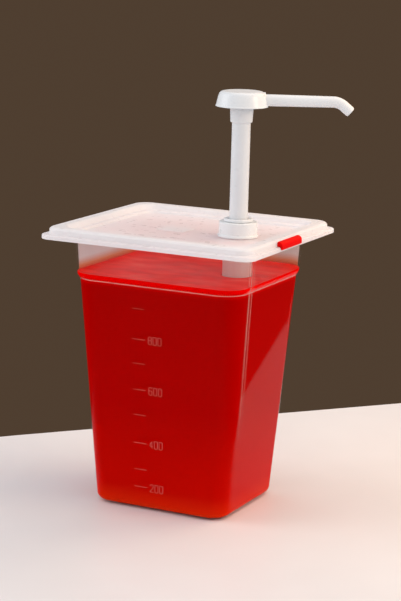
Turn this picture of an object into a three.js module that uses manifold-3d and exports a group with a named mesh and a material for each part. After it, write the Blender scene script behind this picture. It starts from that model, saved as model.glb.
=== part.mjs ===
// Condiment pump dispenser: a tall sixth-size food container with a press-on lid, a colour clip and a
// plunger pump that draws sauce through a dip tube and pushes it out of a long bent spout.
// Units are millimetres and +Z is up. The origin is the centre of the container's base, X runs along
// the graduated front face and Y runs from that face towards the back.

import * as THREE from 'three';
import { mergeVertices } from 'three/addons/utils/BufferGeometryUtils.js';
import Module from 'manifold-3d';

const wasm = await Module();
wasm.setup();

// ---------- driving dimensions ----------

const GAP = 0.3;                 // clearance kept wherever two pieces touch or nest
const CORNER_STEPS = 5;          // straight facets in each rounded corner
const ROUND = 28;                // facets round a turned piece
const FINE = 20;                 // facets round a small turned piece

// container
const WALL = 2;
const FLOOR = 2;
const WALL_FOOT = { x: 56.45, y: 49.75 };      // half sizes of the tapered wall, carried down to z = 0
const WALL_DRAFT = 0.0729;                    // how fast each side leans out with height
const WALL_CORNER = 15.5;
const CORNER_GROWTH = 0.020;                  // the corners are conical: their radius grows with height
const BASE_FILLET = 6.5;
const SHOULDER_LOW = 177.2;                   // the stacking shoulder starts here
const SHOULDER_HIGH = 181;                    // and the collar above it starts here
const COLLAR_FOOT = { x: 70.6, y: 63.6 };
const COLLAR_DRAFT = 0.048;
const COLLAR_CORNER = 17;
const RIM_LOW = 207.9;
const RIM_TOP = 209.6;
const SAUCE_LEVEL = 182;

// lid: outlines are insets from the outer edge
const LID_HALF = { x: 88, y: 81 };
const LID_CORNER = 9;
const SKIRT_LOW = 208.4;
const SKIRT_WALL = 1.6;
const FLANGE_LOW = RIM_TOP + GAP;
const FLANGE_TOP = 211.7;
const TIER_INSET = 3.2;
const TIER_CORNER = 12;
const TIER_TOP = 217;
const LID_WALL = 1.8;
const TIER_BAND_INSET = 12.5;                 // where the tier's flat top ends and its inner slope starts
const LEDGE_INSET = 15.3;                     // a narrow ledge runs round the panel, part way down
const LEDGE_TOP = 213.2;
const PANEL_INSET = 19.6;
const PANEL_TOP = 211.2;
const PANEL_CORNER = 10;
const PLUG_LOW = 206;
const PLUG_INSET = 18.7;
const RIM_INSET = 2.4;
const CLIP = { near: -28, far: 10.2, top: 215.9, low: 209.9, front: 89.4 };
const CLIP_TONGUES = [-20, 1];              // where along Y its two tongues plug into the flange

// pump axis and barrel
const PUMP_X = 40;
const BARREL_R = 11.15;
const BARREL_BORE = 9.65;
const NECK_BORE = BARREL_R + GAP;
const NECK_R = 12.45;
const NECK_TOP = 217.4;
const THREAD_PITCH = 3;
const NUT_R = 14.6;
const NUT_SKIRT_R = 15.5;
const NUT_BORE = 13.25;
const NUT_TOP = 223;
const NUT_ROOF = 2.6;
const GUIDE_R = 10.85;
const GUIDE_TOP = 225.4;
const SEAT_Z = 98.3;             // inlet ball seat
const BALL_R = 4;

// plunger
const STEM_R = 7;
const STEM_BORE = 5.5;
const STEM_FOOT = 208;
const SPRING_LOW = 106.4;
const SPRING_HIGH = 188.6;
const SPRING_R = 8;
const SPRING_WIRE = 0.5;
const SPRING_COILS = 9;

// head and spout
const SOCKET_FOOT = 298.4;
const SOCKET_TOP = 308.8;
const HEAD_RIM = 310;
const HEAD_TOP = 321.5;
const HEAD_RIM_R = 19.75;
const HEAD_WALL = 1.8;
const HUB_R = 6.5;
const HUB_LOW = 303.2;
const SPOUT_HEADING = THREE.MathUtils.degToRad(25.9);
const SPOUT_Z = 315;
const SPOUT_ROOT = 8.5;
const SPOUT_BEND_START = 68;
const SPOUT_BEND_R = 12.6;
const SPOUT_BEND = THREE.MathUtils.degToRad(40);
const SPOUT_TIP = 6.9;
const SPOUT_ROOT_R = 4.5;
const SPOUT_TIP_R = 4.1;
const SPOUT_BORE = 2.7;

// ---------- helpers ----------

/** Points of a rounded rectangle at height z, counter-clockwise from above. */
function outline(halfX, halfY, radius, z) {
  const points = [];
  for (let corner = 0; corner < 4; corner += 1) {
    const signX = corner === 0 || corner === 3 ? 1 : -1;
    const signY = corner < 2 ? 1 : -1;
    for (let step = 0; step <= CORNER_STEPS; step += 1) {
      const angle = (corner + step / CORNER_STEPS) * Math.PI / 2;
      points.push(new THREE.Vector3(
        signX * (halfX - radius) + radius * Math.cos(angle),
        signY * (halfY - radius) + radius * Math.sin(angle),
        z,
      ));
    }
  }
  return points;
}

/** Closed solid through a stack of equal rings; `looped` joins the last ring to the first. */
function skin(rings, looped = false) {
  const count = rings[0].length;
  const positions = rings.flat().flatMap((point) => [point.x, point.y, point.z]);
  const faces = [];
  const bands = looped ? rings.length : rings.length - 1;
  for (let ring = 0; ring < bands; ring += 1) {
    const here = ring * count;
    const next = ((ring + 1) % rings.length) * count;
    for (let side = 0; side < count; side += 1) {
      const after = (side + 1) % count;
      faces.push(here + side, here + after, next + after);
      faces.push(here + side, next + after, next + side);
    }
  }
  if (!looped) {
    const last = (rings.length - 1) * count;
    for (let side = 1; side < count - 1; side += 1) {
      faces.push(0, side + 1, side);
      faces.push(last, last + side, last + side + 1);
    }
  }
  const geometry = new THREE.BufferGeometry();
  geometry.setAttribute('position', new THREE.Float32BufferAttribute(positions, 3));
  geometry.setIndex(faces);
  return geometry;
}

/** Turned solid about the pump axis from a closed [radius, z] profile, listed anticlockwise. */
function turned(profile, segments = ROUND) {
  const points = profile.map(([radius, z]) => new THREE.Vector2(radius, z));
  const onAxis = profile[0][0] === 0 && profile[profile.length - 1][0] === 0;
  if (!onAxis) {
    points.push(points[0].clone());
  }
  const geometry = new THREE.LatheGeometry(points, segments);
  geometry.rotateX(Math.PI / 2);
  return geometry;
}

/** Turned cylinder between two heights. */
function rod(radius, low, high, segments = ROUND) {
  return turned([[0, low], [radius, low], [radius, high], [0, high]], segments);
}

/** Turned tube between two heights. */
function ring(inner, outer, low, high, segments = ROUND) {
  return turned([[inner, low], [outer, low], [outer, high], [inner, high]], segments);
}

function toSolid(geometry) {
  const bare = geometry.clone();
  bare.deleteAttribute('normal');
  bare.deleteAttribute('uv');
  const merged = mergeVertices(bare, 1e-4);
  return new wasm.Manifold(new wasm.Mesh({
    numProp: 3,
    vertProperties: new Float32Array(merged.attributes.position.array),
    triVerts: new Uint32Array(merged.index.array),
  }));
}

function toGeometry(solid) {
  const mesh = solid.getMesh();
  const geometry = new THREE.BufferGeometry();
  geometry.setAttribute('position', new THREE.Float32BufferAttribute(mesh.vertProperties, 3));
  geometry.setIndex(Array.from(mesh.triVerts));
  return geometry;
}

/** Joins and then cuts: every geometry in `joins` is added, every one in `cuts` is taken away. */
function carve(base, { joins = [], cuts = [] }) {
  let solid = toSolid(base);
  for (const piece of joins) {
    solid = solid.add(toSolid(piece));
  }
  for (const piece of cuts) {
    solid = solid.subtract(toSolid(piece));
  }
  return toGeometry(solid);
}

/** A trapezoid ridge that climbs round the pump axis from `inner` to `outer` radius. */
function threadRidge(inner, outer, low, turns, pointsInward) {
  const steps = Math.round(turns * FINE);
  const rings = [];
  const root = pointsInward ? outer : inner;
  const crest = pointsInward ? inner : outer;
  for (let step = 0; step <= steps; step += 1) {
    const angle = (step / FINE) * Math.PI * 2;
    const climb = low + (step / FINE) * THREAD_PITCH;
    const section = [[root, -0.6], [crest, -0.25], [crest, 0.25], [root, 0.6]];
    rings.push(section.map(([radius, lift]) => new THREE.Vector3(
      radius * Math.cos(angle),
      radius * Math.sin(angle),
      climb + lift,
    )));
  }
  const ordered = pointsInward ? rings : rings.map((points) => points.slice().reverse());
  return skin(ordered);
}

/** Circle of points round `centre`, square to a direction that lies in the plane of the spout. */
function spoutRing(centre, slope, radius) {
  const side = new THREE.Vector3(0, 1, 0);
  const up = new THREE.Vector3(Math.sin(slope), 0, Math.cos(slope));
  const points = [];
  for (let step = 0; step < FINE; step += 1) {
    const angle = (step / FINE) * Math.PI * 2;
    points.push(centre.clone()
      .addScaledVector(side, radius * Math.cos(angle))
      .addScaledVector(up, radius * Math.sin(angle)));
  }
  return points;
}

const root = new THREE.Group();

/** A group standing on the pump axis, so turned pieces can be drawn about their own centre line. */
const pump = new THREE.Group();
pump.position.x = PUMP_X;
root.add(pump);

function addPart(parent, name, geometry, finish) {
  const { color, roughness = 0.4, opacity = 1 } = finish;
  const material = new THREE.MeshStandardMaterial({ color, roughness, metalness: finish.metalness ?? 0 });
  material.opacity = opacity;
  material.transparent = opacity < 1;
  const mesh = new THREE.Mesh(geometry, material);
  mesh.name = name;
  parent.add(mesh);
  return mesh;
}

const CLEAR_PP = { color: 0xe6e0de, roughness: 0.25, opacity: 0.35 };
const MILKY_PP = { color: 0xeae7e6, roughness: 0.35, opacity: 0.85 };
const NATURAL_PP = { color: 0xf0eff0, roughness: 0.35, opacity: 0.9 };
const WHITE_PP = { color: 0xf4f4f5, roughness: 0.3 };
const RED_PP = { color: 0xe80a04, roughness: 0.45 };
const SAUCE = { color: 0xb40400, roughness: 0.15 };
const SILICONE = { color: 0xd8dad8, roughness: 0.6 };
const ELASTOMER = { color: 0xc9ccd0, roughness: 0.6 };
const STEEL = { color: 0xc4c6c8, roughness: 0.25, metalness: 1 };

// ---------- container and sauce ----------

/** Outline of the tapered wall at height z, taken in by `inset`. */
function wallOutline(z, inset) {
  const lean = WALL_DRAFT * z;
  return outline(
    WALL_FOOT.x + lean - inset,
    WALL_FOOT.y + lean - inset,
    WALL_CORNER + CORNER_GROWTH * z - inset,
    z,
  );
}

/** Outline of the collar at height z, taken in by `inset`. */
function collarOutline(z, inset) {
  const lean = COLLAR_DRAFT * (z - SHOULDER_HIGH);
  return outline(
    COLLAR_FOOT.x + lean - inset,
    COLLAR_FOOT.y + lean - inset,
    COLLAR_CORNER - inset,
    z,
  );
}

/** Rings from the flat bottom up through its fillet, for a surface lying `inset` inside the outside. */
function filletRings(floor, inset) {
  const radius = BASE_FILLET - inset;
  const rings = [];
  const steps = 4;
  for (let step = 0; step <= steps; step += 1) {
    const angle = (step / steps) * Math.PI / 2;
    const z = floor + radius * (1 - Math.cos(angle));
    const pull = radius * (1 - Math.sin(angle));
    rings.push(wallOutline(z, inset + pull));
  }
  return rings;
}

/** The rounded step that carries the wall out to the collar, `inset` inside the outside. */
function shoulderRings(inset) {
  const rings = [wallOutline(SHOULDER_LOW, inset)];
  const low = WALL_DRAFT * SHOULDER_LOW;
  const corner = WALL_CORNER + CORNER_GROWTH * SHOULDER_LOW;
  const steps = 3;
  for (let step = 1; step <= steps; step += 1) {
    const angle = (step / steps) * Math.PI / 2;
    const rise = Math.sin(angle);
    const spread = 1 - Math.cos(angle);
    const z = THREE.MathUtils.lerp(SHOULDER_LOW, SHOULDER_HIGH, (rise + spread) / 2);
    rings.push(outline(
      THREE.MathUtils.lerp(WALL_FOOT.x + low, COLLAR_FOOT.x, (rise + spread) / 2) - inset,
      THREE.MathUtils.lerp(WALL_FOOT.y + low, COLLAR_FOOT.y, (rise + spread) / 2) - inset,
      THREE.MathUtils.lerp(corner, COLLAR_CORNER, rise) - inset,
      z,
    ));
  }
  return rings;
}

/** Outline measured inwards from the lid's outer edge. */
function lidOutline(inset, radius, z) {
  return outline(LID_HALF.x - inset, LID_HALF.y - inset, radius, z);
}

function containerBody() {
  const outside = [
    ...filletRings(0, 0),
    wallOutline(60, 0),
    wallOutline(120, 0),
    ...shoulderRings(0),
    collarOutline(RIM_LOW, 0),
    lidOutline(RIM_INSET, LID_CORNER - RIM_INSET, RIM_LOW),
    lidOutline(RIM_INSET, LID_CORNER - RIM_INSET, RIM_TOP),
  ];
  const inside = [
    ...filletRings(FLOOR, WALL),
    wallOutline(60, WALL),
    wallOutline(120, WALL),
    ...shoulderRings(WALL),
    collarOutline(RIM_TOP, WALL),
  ];
  return skin([...outside, ...inside.reverse()]);
}

/** Barrel and dip tube grown by a clearance, as the hole that they make in the sauce. */
function pumpHole() {
  const hole = turned([
    [0, 7.4], [5, 7.4], [5, 81.4], [7, 81.4], [7, 94.8], [BARREL_R + 0.6, 100.8],
    [BARREL_R + 0.6, SAUCE_LEVEL + 5], [0, SAUCE_LEVEL + 5],
  ]);
  hole.translate(PUMP_X, 0, 0);
  return hole;
}

function sauceFill() {
  const inset = WALL + GAP;
  const block = skin([
    ...filletRings(FLOOR + GAP, inset),
    wallOutline(60, inset),
    wallOutline(120, inset),
    ...shoulderRings(inset),
    collarOutline(SAUCE_LEVEL, inset),
  ]);
  return carve(block, { cuts: [pumpHole()] });
}

addPart(root, 'container_body', containerBody(), CLEAR_PP);
addPart(root, 'sauce_fill', sauceFill(), SAUCE);

// ---------- lid, seal and clip ----------

function lidShell() {
  const below = [
    lidOutline(PLUG_INSET + 1.7, 12.8, PANEL_TOP - LID_WALL),
    lidOutline(PLUG_INSET + 1.7, 12.8, PLUG_LOW),
    lidOutline(PLUG_INSET, 14.5, PLUG_LOW),
    lidOutline(PLUG_INSET, 14.5, FLANGE_LOW),
    lidOutline(15.4, 12, FLANGE_LOW),
    lidOutline(12.6, 12, TIER_TOP - LID_WALL),
    lidOutline(TIER_INSET + LID_WALL, TIER_CORNER - LID_WALL, TIER_TOP - LID_WALL),
    lidOutline(TIER_INSET + LID_WALL, TIER_CORNER - LID_WALL, FLANGE_LOW),
    lidOutline(SKIRT_WALL, LID_CORNER - SKIRT_WALL, FLANGE_LOW),
    lidOutline(SKIRT_WALL, LID_CORNER - SKIRT_WALL, SKIRT_LOW),
  ];
  const above = [
    lidOutline(0, LID_CORNER, SKIRT_LOW),
    lidOutline(0, LID_CORNER, FLANGE_TOP - 0.5),
    lidOutline(0.5, LID_CORNER, FLANGE_TOP),
    lidOutline(TIER_INSET, TIER_CORNER, FLANGE_TOP),
    lidOutline(TIER_INSET + 0.2, TIER_CORNER, TIER_TOP - 1.6),
    lidOutline(TIER_INSET + 0.7, TIER_CORNER - 0.5, TIER_TOP - 0.5),
    lidOutline(TIER_INSET + 1.8, TIER_CORNER - 1.6, TIER_TOP),
    lidOutline(TIER_BAND_INSET - 0.8, PANEL_CORNER + 4.6, TIER_TOP),
    lidOutline(TIER_BAND_INSET, PANEL_CORNER + 3.8, TIER_TOP - 0.5),
    lidOutline(LEDGE_INSET, PANEL_CORNER + 2.4, LEDGE_TOP),
    lidOutline(PANEL_INSET - 1.2, PANEL_CORNER + 0.8, LEDGE_TOP - 0.3),
    lidOutline(PANEL_INSET, PANEL_CORNER, PANEL_TOP),
  ];
  return skin([...below, ...above]);
}

/** The shell with its pump neck: a threaded spigot round the hole that the barrel hangs in. */
function lidWithNeck() {
  const neck = rod(NECK_R, PANEL_TOP - 1, NECK_TOP);
  const thread = threadRidge(NECK_R - 0.2, 12.95, 213.4, 0.9, false);
  const hole = rod(NECK_BORE, PLUG_LOW - 10, NECK_TOP + 10);
  for (const piece of [neck, thread, hole]) {
    piece.translate(PUMP_X, 0, 0);
  }
  const slots = CLIP_TONGUES.map((middle) => clipTongue(middle, GAP));
  return carve(lidShell(), { joins: [neck, thread], cuts: [hole, ...slots] });
}

function lidSeal() {
  return skin([
    lidOutline(12, 12, FLANGE_LOW),
    lidOutline(7, 8.2, FLANGE_LOW),
    lidOutline(7, 8.2, TIER_TOP - LID_WALL - GAP - 0.8),
    lidOutline(7.8, 7.4, TIER_TOP - LID_WALL - GAP),
    lidOutline(11.2, 12.8, TIER_TOP - LID_WALL - GAP),
    lidOutline(12, 12, TIER_TOP - LID_WALL - GAP - 0.8),
  ], true);
}

/** Snap-on colour bar: a half-round rail against the tier, with two tongues that plug into the flange. */
function colourClip() {
  const back = LID_HALF.x - TIER_INSET + GAP;
  const edge = LID_HALF.x + GAP;
  const foot = FLANGE_TOP + GAP;
  const { near, far, top, low, front } = CLIP;
  const section = new THREE.Shape();
  section.moveTo(back, foot);
  section.lineTo(edge, foot);
  section.lineTo(edge, low);
  section.quadraticCurveTo(front, low, front, low + 0.6);
  section.lineTo(front, foot + 0.4);
  section.quadraticCurveTo(front - 0.1, top - 0.1, back + 0.9, top);
  section.quadraticCurveTo(back, top, back, top - 0.9);
  section.closePath();
  const bar = new THREE.ExtrudeGeometry(section, {
    depth: far - near, steps: 1, bevelEnabled: false, curveSegments: 6,
  });
  bar.rotateX(Math.PI / 2);
  bar.translate(0, far, 0);
  const endRound = 3;
  const plan = new THREE.Shape();
  plan.moveTo(back - 1, near);
  plan.lineTo(front + 1, near);
  plan.lineTo(front + 1, far - endRound);
  plan.lineTo(front, far - endRound);
  plan.absarc(front - endRound, far - endRound, endRound, 0, Math.PI / 2);
  plan.lineTo(back - 1, far);
  plan.closePath();
  const keep = new THREE.ExtrudeGeometry(plan, {
    depth: 20, steps: 1, bevelEnabled: false, curveSegments: 6,
  });
  keep.translate(0, 0, low - 5);
  let clip = toSolid(bar).intersect(toSolid(keep));
  for (const middle of CLIP_TONGUES) {
    clip = clip.add(toSolid(clipTongue(middle, 0)));
  }
  return toGeometry(clip);
}

/** One tongue of the clip, or with `room` the slot that it drops into. */
function clipTongue(middle, room) {
  const low = FLANGE_LOW + 0.1 - room;
  const high = FLANGE_TOP + GAP + 0.6;
  const tongue = new THREE.BoxGeometry(1 + 2 * room, 6 + 2 * room, high - low);
  tongue.translate(LID_HALF.x - 1.6, middle, (low + high) / 2);
  return tongue;
}

addPart(root, 'lid', lidWithNeck(), MILKY_PP);
addPart(root, 'lid_seal', lidSeal(), SILICONE);
addPart(root, 'colour_clip', colourClip(), RED_PP);

// ---------- neck fittings ----------

function collarNut() {
  const foot = PANEL_TOP + GAP;
  const shell = turned([
    [NUT_BORE, foot], [NUT_SKIRT_R, foot], [NUT_SKIRT_R, foot + 1.6], [NUT_R, foot + 2.2],
    [NUT_R, NUT_TOP - 0.6], [NUT_R - 0.6, NUT_TOP], [9.6, NUT_TOP], [9.6, NUT_TOP - NUT_ROOF],
    [NUT_BORE, NUT_TOP - NUT_ROOF],
  ]);
  const thread = threadRidge(12.7, NUT_BORE + 0.2, 214.9, 0.6, true);
  return carve(shell, { joins: [thread] });
}

function stemGuide() {
  const cupFloor = GUIDE_TOP - 1.7;
  return turned([
    [STEM_R + GAP, 209.5], [9, 209.5], [BARREL_BORE - 0.35, 210.4], [BARREL_BORE - 0.35, NUT_TOP + GAP],
    [GUIDE_R, NUT_TOP + GAP], [GUIDE_R, GUIDE_TOP - 0.6], [GUIDE_R - 0.6, GUIDE_TOP], [8.9, GUIDE_TOP],
    [8.9, cupFloor], [STEM_R + GAP, cupFloor],
  ]);
}

addPart(pump, 'collar_nut', collarNut(), WHITE_PP);
addPart(pump, 'neck_gasket', ring(NECK_BORE, 12.9, NECK_TOP + GAP, NECK_TOP + 1.2), SILICONE);
addPart(pump, 'stem_guide', stemGuide(), WHITE_PP);
addPart(pump, 'stem_wiper', ring(STEM_R + 0.25, 8.6, GUIDE_TOP - 1.4, GUIDE_TOP - 0.2), ELASTOMER);

// ---------- barrel, inlet valve and dip tube ----------

function barrel() {
  const flangeLow = NECK_TOP + 1.5;
  const tube = turned([
    [4.3, 82], [5.8, 82], [6.2, 95], [BARREL_R, 101.4], [BARREL_R, flangeLow], [12.9, flangeLow],
    [12.9, flangeLow + 1.2], [BARREL_BORE, flangeLow + 1.2], [BARREL_BORE, 104], [4.4, 103.6],
    [4.4, SEAT_Z], [3, SEAT_Z], [3, 95.5], [4.3, 95.5],
  ]);
  const vent = new THREE.CylinderGeometry(1.1, 1.1, 6, 12);
  vent.rotateX(Math.PI / 2);
  vent.translate(0, BARREL_R, 203);
  return carve(tube, { cuts: [vent] });
}

/** Cage over the inlet ball: four posts and a roof keep the ball near its seat and centre the spring. */
function ballCage() {
  const cup = turned([
    [4.7, 104.3], [9.3, 104.3], [9.3, 106], [6.4, 106], [6.4, 110.2], [1.6, 110.2], [1.6, 108.8],
    [4.7, 108.8],
  ], FINE);
  const slots = [0, Math.PI / 2].map((turn) => {
    const slot = new THREE.BoxGeometry(16, 4, 2.4);
    slot.rotateZ(turn);
    slot.translate(0, 0, 107.4);
    return slot;
  });
  return carve(cup, { cuts: slots });
}

function ball(centre) {
  const steps = 8;
  const profile = [];
  for (let step = 0; step <= steps; step += 1) {
    const angle = -Math.PI / 2 + (step / steps) * Math.PI;
    const radius = step === 0 || step === steps ? 0 : BALL_R * Math.cos(angle);
    profile.push([radius, centre + BALL_R * Math.sin(angle)]);
  }
  return turned(profile, 16);
}

/** Dip tube with its foot cut on a slant, so it can't seal itself against the floor. */
function dipTube() {
  const tube = ring(2.7, 4, 8, 95.2, FINE);
  const slant = new THREE.BoxGeometry(30, 30, 12);
  slant.translate(0, 0, -6);
  slant.rotateY(THREE.MathUtils.degToRad(35));
  slant.translate(0, 0, 11);
  return carve(tube, { cuts: [slant] });
}

addPart(pump, 'barrel', barrel(), NATURAL_PP);
addPart(pump, 'ball_cage', ballCage(), WHITE_PP);
addPart(pump, 'inlet_ball', ball(SEAT_Z + 2.75), STEEL);
addPart(pump, 'dip_tube', dipTube(), NATURAL_PP);

// ---------- spring and piston ----------

/** Centre line of the return spring: closed end coils and an even pitch between them. */
class SpringLine extends THREE.Curve {
  getPoint(t, target = new THREE.Vector3()) {
    const endTurn = 1 / SPRING_COILS;
    const open = THREE.MathUtils.clamp((t - endTurn) / (1 - 2 * endTurn), 0, 1);
    const low = SPRING_LOW + SPRING_WIRE;
    const high = SPRING_HIGH - SPRING_WIRE;
    const deadRise = 1.25;
    const lift = Math.min(t, endTurn) + Math.max(t - 1 + endTurn, 0);
    const z = low + lift * SPRING_COILS * deadRise + open * (high - low - 2 * deadRise);
    const angle = t * SPRING_COILS * Math.PI * 2;
    return target.set(SPRING_R * Math.cos(angle), SPRING_R * Math.sin(angle), z);
  }
}

function returnSpring() {
  const wire = new THREE.Shape();
  wire.absarc(0, 0, SPRING_WIRE, 0, Math.PI * 2);
  return new THREE.ExtrudeGeometry(wire, {
    steps: SPRING_COILS * 12, extrudePath: new SpringLine(), bevelEnabled: false, curveSegments: 3,
  });
}

/** Cup that sits on the spring and pushes the piston up. */
function springFollower() {
  return turned([
    [3.2, 184], [6.6, 184], [7, 185], [7, 189], [8.9, 189], [8.9, 191], [3.2, 191],
  ], FINE);
}

/** Double-lipped seal: both lips flare out to wipe the barrel. */
function pistonSeal() {
  const lip = BARREL_BORE - GAP;
  return turned([
    [4.6, 194.8], [7.4, 194.8], [7.8, 196.4], [lip - 0.7, 194.9], [lip, 195.1], [8.4, 198.4],
    [8.4, 201.6], [lip, 204.9], [lip - 0.7, 205.1], [7.8, 203.6], [7.4, 205.1], [4.6, 205.1],
  ]);
}

/** Hollow spindle that plugs into the stem and carries the seal between two collars. */
function pistonCore() {
  return turned([
    [2.6, 192], [6.4, 192], [6.4, 194.5], [4.3, 194.5], [4.3, 205.4], [6.6, 205.4],
    [6.6, STEM_FOOT - GAP], [STEM_BORE - GAP, STEM_FOOT - GAP], [STEM_BORE - GAP, 225],
    [4.6, 226], [2.6, 226],
  ], FINE);
}

addPart(pump, 'return_spring', returnSpring(), STEEL);
addPart(pump, 'spring_follower', springFollower(), WHITE_PP);
addPart(pump, 'piston_seal', pistonSeal(), ELASTOMER);
addPart(pump, 'piston_core', pistonCore(), WHITE_PP);

// ---------- stem, outlet valve, head and spout ----------

const OUTLET_SEAT = 293;

/** Long tube with a seat for the outlet ball and a wider socket moulded at the top for the head. */
function stemTube() {
  const socketBore = HUB_R + GAP;
  return turned([
    [STEM_BORE, STEM_FOOT], [STEM_R, STEM_FOOT], [STEM_R, SOCKET_FOOT], [8.3, SOCKET_FOOT],
    [8.8, SOCKET_TOP], [socketBore, SOCKET_TOP], [socketBore, SOCKET_FOOT + 2],
    [4.7, SOCKET_FOOT + 1], [4.7, OUTLET_SEAT], [3, OUTLET_SEAT], [3, OUTLET_SEAT - 1.6],
    [STEM_BORE, OUTLET_SEAT - 2.6],
  ]);
}

/** Bell-shaped press pad: a thin cap with a hub that plugs the stem and a cross socket for the spout. */
function pumpHead() {
  const crown = HEAD_TOP - HEAD_WALL;
  const bell = turned([
    [0, crown], [14.6, crown], [16.2, crown - 1.4], [17.7, HEAD_RIM], [HEAD_RIM_R, HEAD_RIM],
    [HEAD_RIM_R, HEAD_RIM + 0.7], [19.3, HEAD_RIM + 1.3], [18.4, 315.6], [17.6, 318.6],
    [16.9, 320.2], [15.4, 321.2], [13.2, HEAD_TOP], [0, HEAD_TOP],
  ]);
  const hub = rod(HUB_R, HUB_LOW, crown + 0.5);
  const boss = rod(5.9, 3, 17.6, FINE);
  const socket = rod(SPOUT_ROOT_R + GAP, SPOUT_ROOT - GAP, 30, FINE);
  const duct = rod(2.6, 0, SPOUT_ROOT + 1, FINE);
  for (const piece of [boss, socket, duct]) {
    piece.rotateY(Math.PI / 2);
    piece.rotateZ(SPOUT_HEADING);
    piece.translate(0, 0, SPOUT_Z);
  }
  const well = rod(2.6, HUB_LOW - 1, SPOUT_Z + 2.6, FINE);
  return carve(bell, { joins: [hub, boss], cuts: [socket, duct, well] });
}

/** Rings along the spout's centre line; `radiusAt` gives the radius for a share of its length. */
function spoutRings(radiusAt, extend) {
  const rings = [];
  const total = SPOUT_BEND_START - SPOUT_ROOT + SPOUT_BEND * SPOUT_BEND_R + SPOUT_TIP;
  const place = (along, z, slope, travelled) => {
    rings.push(spoutRing(new THREE.Vector3(along, 0, z), slope, radiusAt(travelled / total)));
  };
  place(SPOUT_ROOT - extend, SPOUT_Z, 0, 0);
  place(SPOUT_BEND_START, SPOUT_Z, 0, SPOUT_BEND_START - SPOUT_ROOT);
  const steps = 7;
  for (let step = 1; step <= steps; step += 1) {
    const slope = (step / steps) * SPOUT_BEND;
    place(
      SPOUT_BEND_START + SPOUT_BEND_R * Math.sin(slope),
      SPOUT_Z - SPOUT_BEND_R * (1 - Math.cos(slope)),
      slope,
      SPOUT_BEND_START - SPOUT_ROOT + slope * SPOUT_BEND_R,
    );
  }
  const bendEnd = SPOUT_BEND_START + SPOUT_BEND_R * Math.sin(SPOUT_BEND);
  const bendDrop = SPOUT_BEND_R * (1 - Math.cos(SPOUT_BEND));
  const reach = SPOUT_TIP + extend;
  place(
    bendEnd + reach * Math.cos(SPOUT_BEND),
    SPOUT_Z - bendDrop - reach * Math.sin(SPOUT_BEND),
    SPOUT_BEND,
    total,
  );
  return rings;
}

function spout() {
  const taper = (share) => THREE.MathUtils.lerp(SPOUT_ROOT_R, SPOUT_TIP_R, share);
  const outer = skin(spoutRings(taper, 0));
  const bore = skin(spoutRings(() => SPOUT_BORE, 1));
  const tube = carve(outer, { cuts: [bore] });
  tube.rotateZ(SPOUT_HEADING);
  return tube;
}

addPart(pump, 'stem_tube', stemTube(), NATURAL_PP);
addPart(pump, 'outlet_ball', ball(OUTLET_SEAT + 2.75), STEEL);
addPart(pump, 'pump_head', pumpHead(), WHITE_PP);
addPart(pump, 'spout', spout(), WHITE_PP);

export default root;
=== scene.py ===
# %% [markdown]
# # A sauce pump dispenser
# A tall translucent food container full of red sauce, with a press-on lid, a colour clip and a plunger
# pump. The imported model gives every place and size, so this lesson only makes the fine surfaces and the
# finishes. Each new piece is a grid of points worked out by a formula: an outline carried up a profile,
# a profile turned round an axis, or a circle carried along a path.

# %% Load the frame
import math

import bmesh
import bpy
import numpy as np
from mathutils import Matrix, Vector


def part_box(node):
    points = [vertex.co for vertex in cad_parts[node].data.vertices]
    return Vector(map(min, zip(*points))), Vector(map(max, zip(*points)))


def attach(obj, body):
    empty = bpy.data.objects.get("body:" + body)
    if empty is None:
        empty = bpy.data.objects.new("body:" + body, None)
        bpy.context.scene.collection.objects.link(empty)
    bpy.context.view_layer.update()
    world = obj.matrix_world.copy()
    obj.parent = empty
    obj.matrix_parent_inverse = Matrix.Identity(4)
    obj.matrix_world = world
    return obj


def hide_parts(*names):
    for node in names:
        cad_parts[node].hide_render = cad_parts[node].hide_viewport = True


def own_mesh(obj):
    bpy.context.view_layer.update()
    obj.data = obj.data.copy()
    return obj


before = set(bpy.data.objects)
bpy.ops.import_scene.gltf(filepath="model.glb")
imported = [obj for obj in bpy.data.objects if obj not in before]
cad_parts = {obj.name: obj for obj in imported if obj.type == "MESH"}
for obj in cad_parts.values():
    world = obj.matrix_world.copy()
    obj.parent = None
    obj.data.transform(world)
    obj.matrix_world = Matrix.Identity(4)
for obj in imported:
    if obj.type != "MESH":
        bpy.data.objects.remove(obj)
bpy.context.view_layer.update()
MM = 0.001
print("nodes in the frame:", sorted(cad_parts))

# %% [markdown]
# ## Camera
# The view is a long lens held a little above the lid and turned towards the pump's side, with the
# slight tilt of a camera held by hand. The camera's own three directions are worked out from its
# heading, its downward angle and its tilt, and then it is backed away from the point that it looks at.

# %% Make the camera
HEADING = math.radians(25.93)      # how far the camera stands round from the front face
DOWN = math.radians(11.76)         # how steeply it looks down
TILT = math.radians(1.56)          # rotation about its own line of sight
DISTANCE = 1.5471
AIM = Vector((0.0, 0.0, 0.130))
AIM_RIGHT, AIM_UP = 0.0090, 0.0267
SENSOR = 36.0
LENS = 119.7

right = Vector((math.cos(HEADING), math.sin(HEADING), 0.0))
forward = Vector((-math.sin(HEADING) * math.cos(DOWN), math.cos(HEADING) * math.cos(DOWN), -math.sin(DOWN)))
above = right.cross(forward)
place = AIM + right * AIM_RIGHT + above * AIM_UP - forward * DISTANCE
tilted_right = right * math.cos(TILT) + above * math.sin(TILT)
tilted_up = above * math.cos(TILT) - right * math.sin(TILT)

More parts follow.
